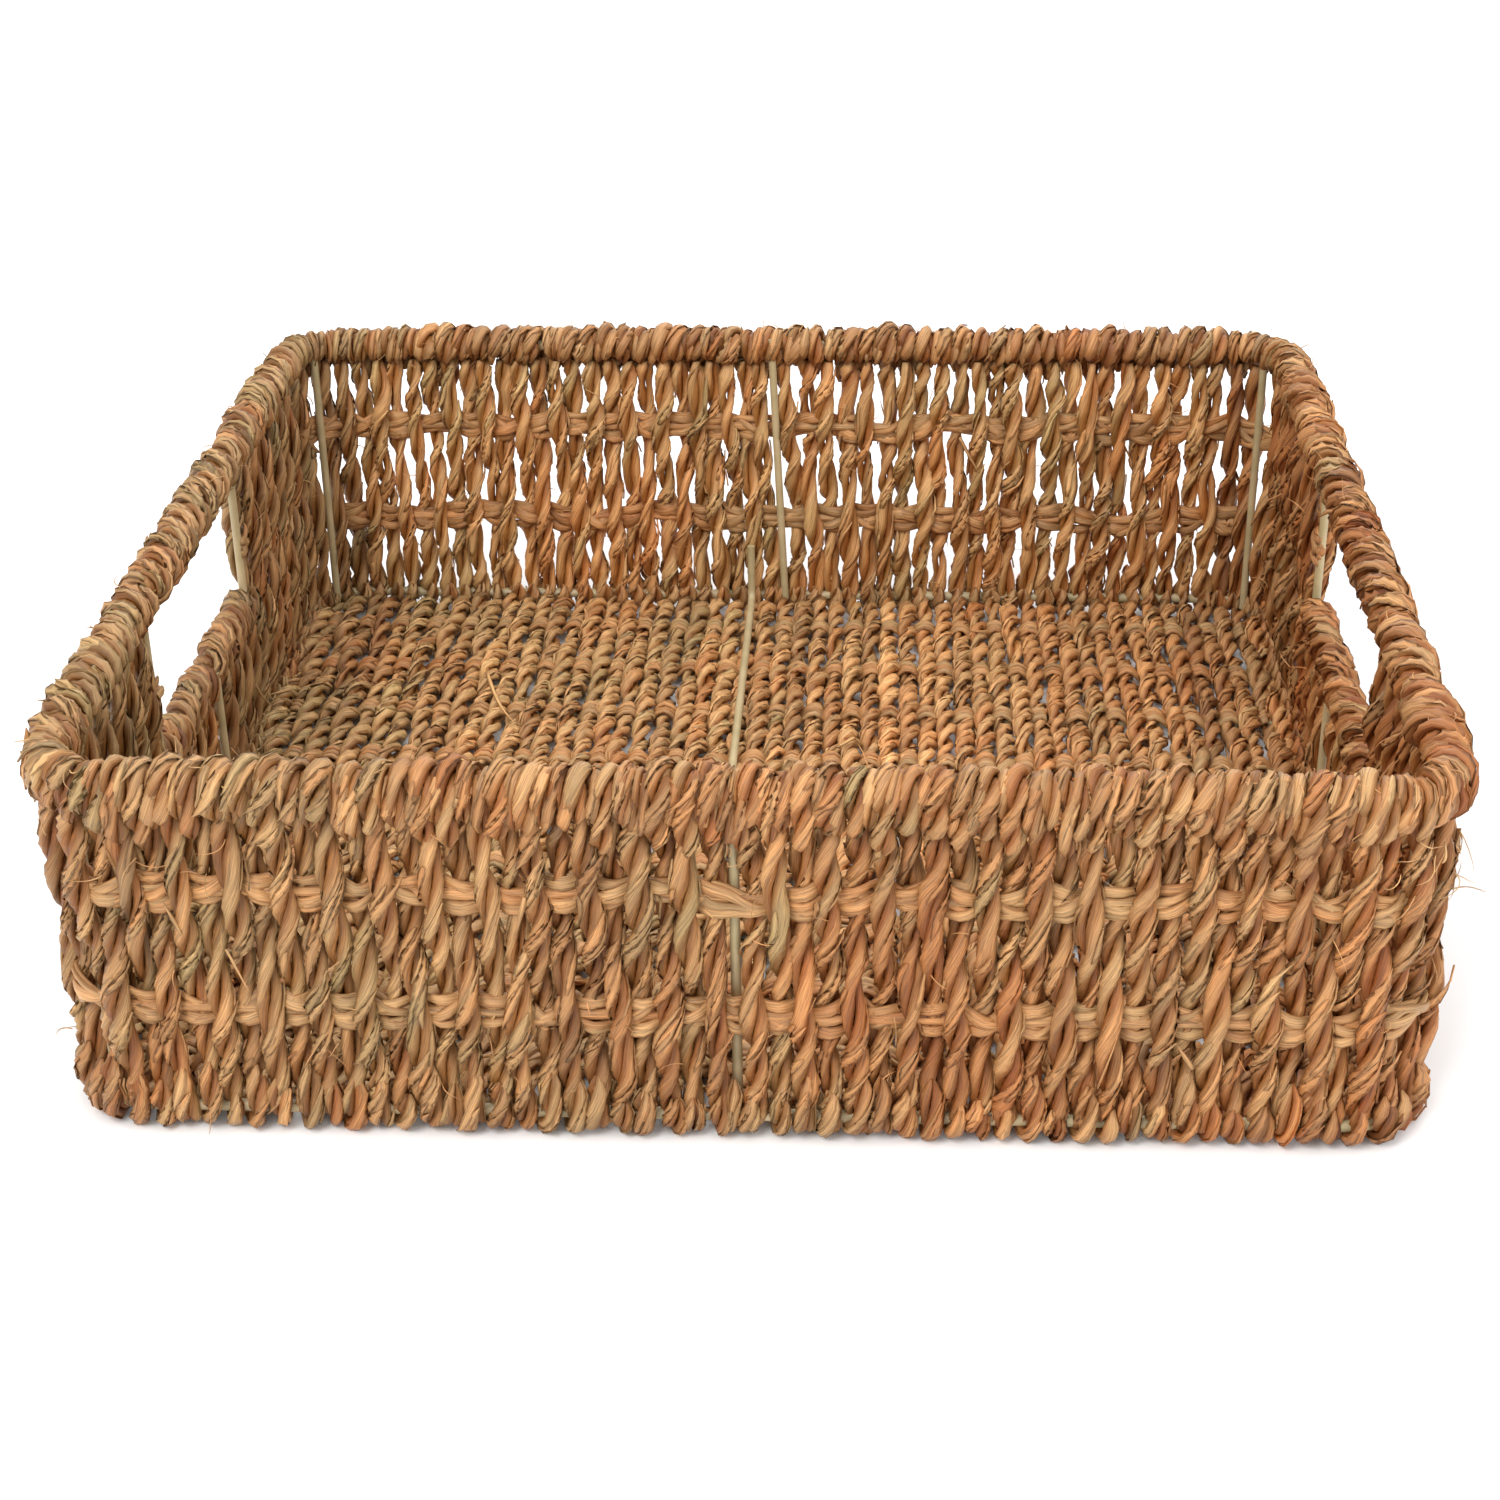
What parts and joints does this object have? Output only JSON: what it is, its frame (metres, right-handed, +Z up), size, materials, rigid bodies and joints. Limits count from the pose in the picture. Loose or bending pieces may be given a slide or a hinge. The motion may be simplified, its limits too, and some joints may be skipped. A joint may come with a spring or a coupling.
{
  "type": "bread basket",
  "caption": "Open rectangular basket of woven seagrass rope on a welded wire frame, with a finger opening under the rim at each end.",
  "frame": {"origin": "middle of the underside, on the surface that the basket stands on", "axes": "+X along the longer plan side towards the right end, +Y from the front wall to the back wall, +Z up"},
  "size_m": [0.38, 0.35, 0.115],
  "materials": {
    "wire": "satin khaki paint",
    "rope": "natural twisted seagrass",
    "floor_rope": "natural twisted seagrass, laid tight",
    "band_strand": "flat untwisted seagrass strands",
    "edge_loop": "natural twisted seagrass, drawn tight over the wire"
  },
  "bodies": {
    "root": {"rim_wire": "wire", "base_wire": "wire", "upper_ring_wires": "wire", "lower_ring_wire": "wire", "front_stay": "wire", "back_stay": "wire", "left_end_stay": "wire", "right_end_stay": "wire", "front_right_corner_stay": "wire", "back_right_corner_stay": "wire", "back_left_corner_stay": "wire", "front_left_corner_stay": "wire", "left_handle_frame": "wire", "right_handle_frame": "wire", "long_floor_wire": "wire", "floor_cross_wires": "wire", "floor_mat": "floor_rope", "floor_bands": "band_strand", "front_ropes": "rope", "back_ropes": "rope", "left_front_ropes": "rope", "left_short_ropes": "rope", "left_back_ropes": "rope", "right_front_ropes": "rope", "right_short_ropes": "rope", "right_back_ropes": "rope", "front_right_corner_ropes": "rope", "back_right_corner_ropes": "rope", "back_left_corner_ropes": "rope", "front_left_corner_ropes": "rope", "front_upper_band": "band_strand", "back_upper_band": "band_strand", "left_upper_band": "band_strand", "right_upper_band": "band_strand", "front_lower_band": "band_strand", "back_lower_band": "band_strand", "left_lower_band": "band_strand", "right_lower_band": "band_strand", "front_rim_loops": "edge_loop", "back_rim_loops": "edge_loop", "left_rim_loops": "edge_loop", "right_rim_loops": "edge_loop", "corner_rim_loops": "edge_loop", "left_handle_wrap": "edge_loop", "right_handle_wrap": "edge_loop", "left_sill_loops": "edge_loop", "right_sill_loops": "edge_loop", "front_base_loops": "edge_loop", "back_base_loops": "edge_loop", "left_base_loops": "edge_loop", "right_base_loops": "edge_loop", "corner_base_loops": "edge_loop"}
  },
  "joints": []
}
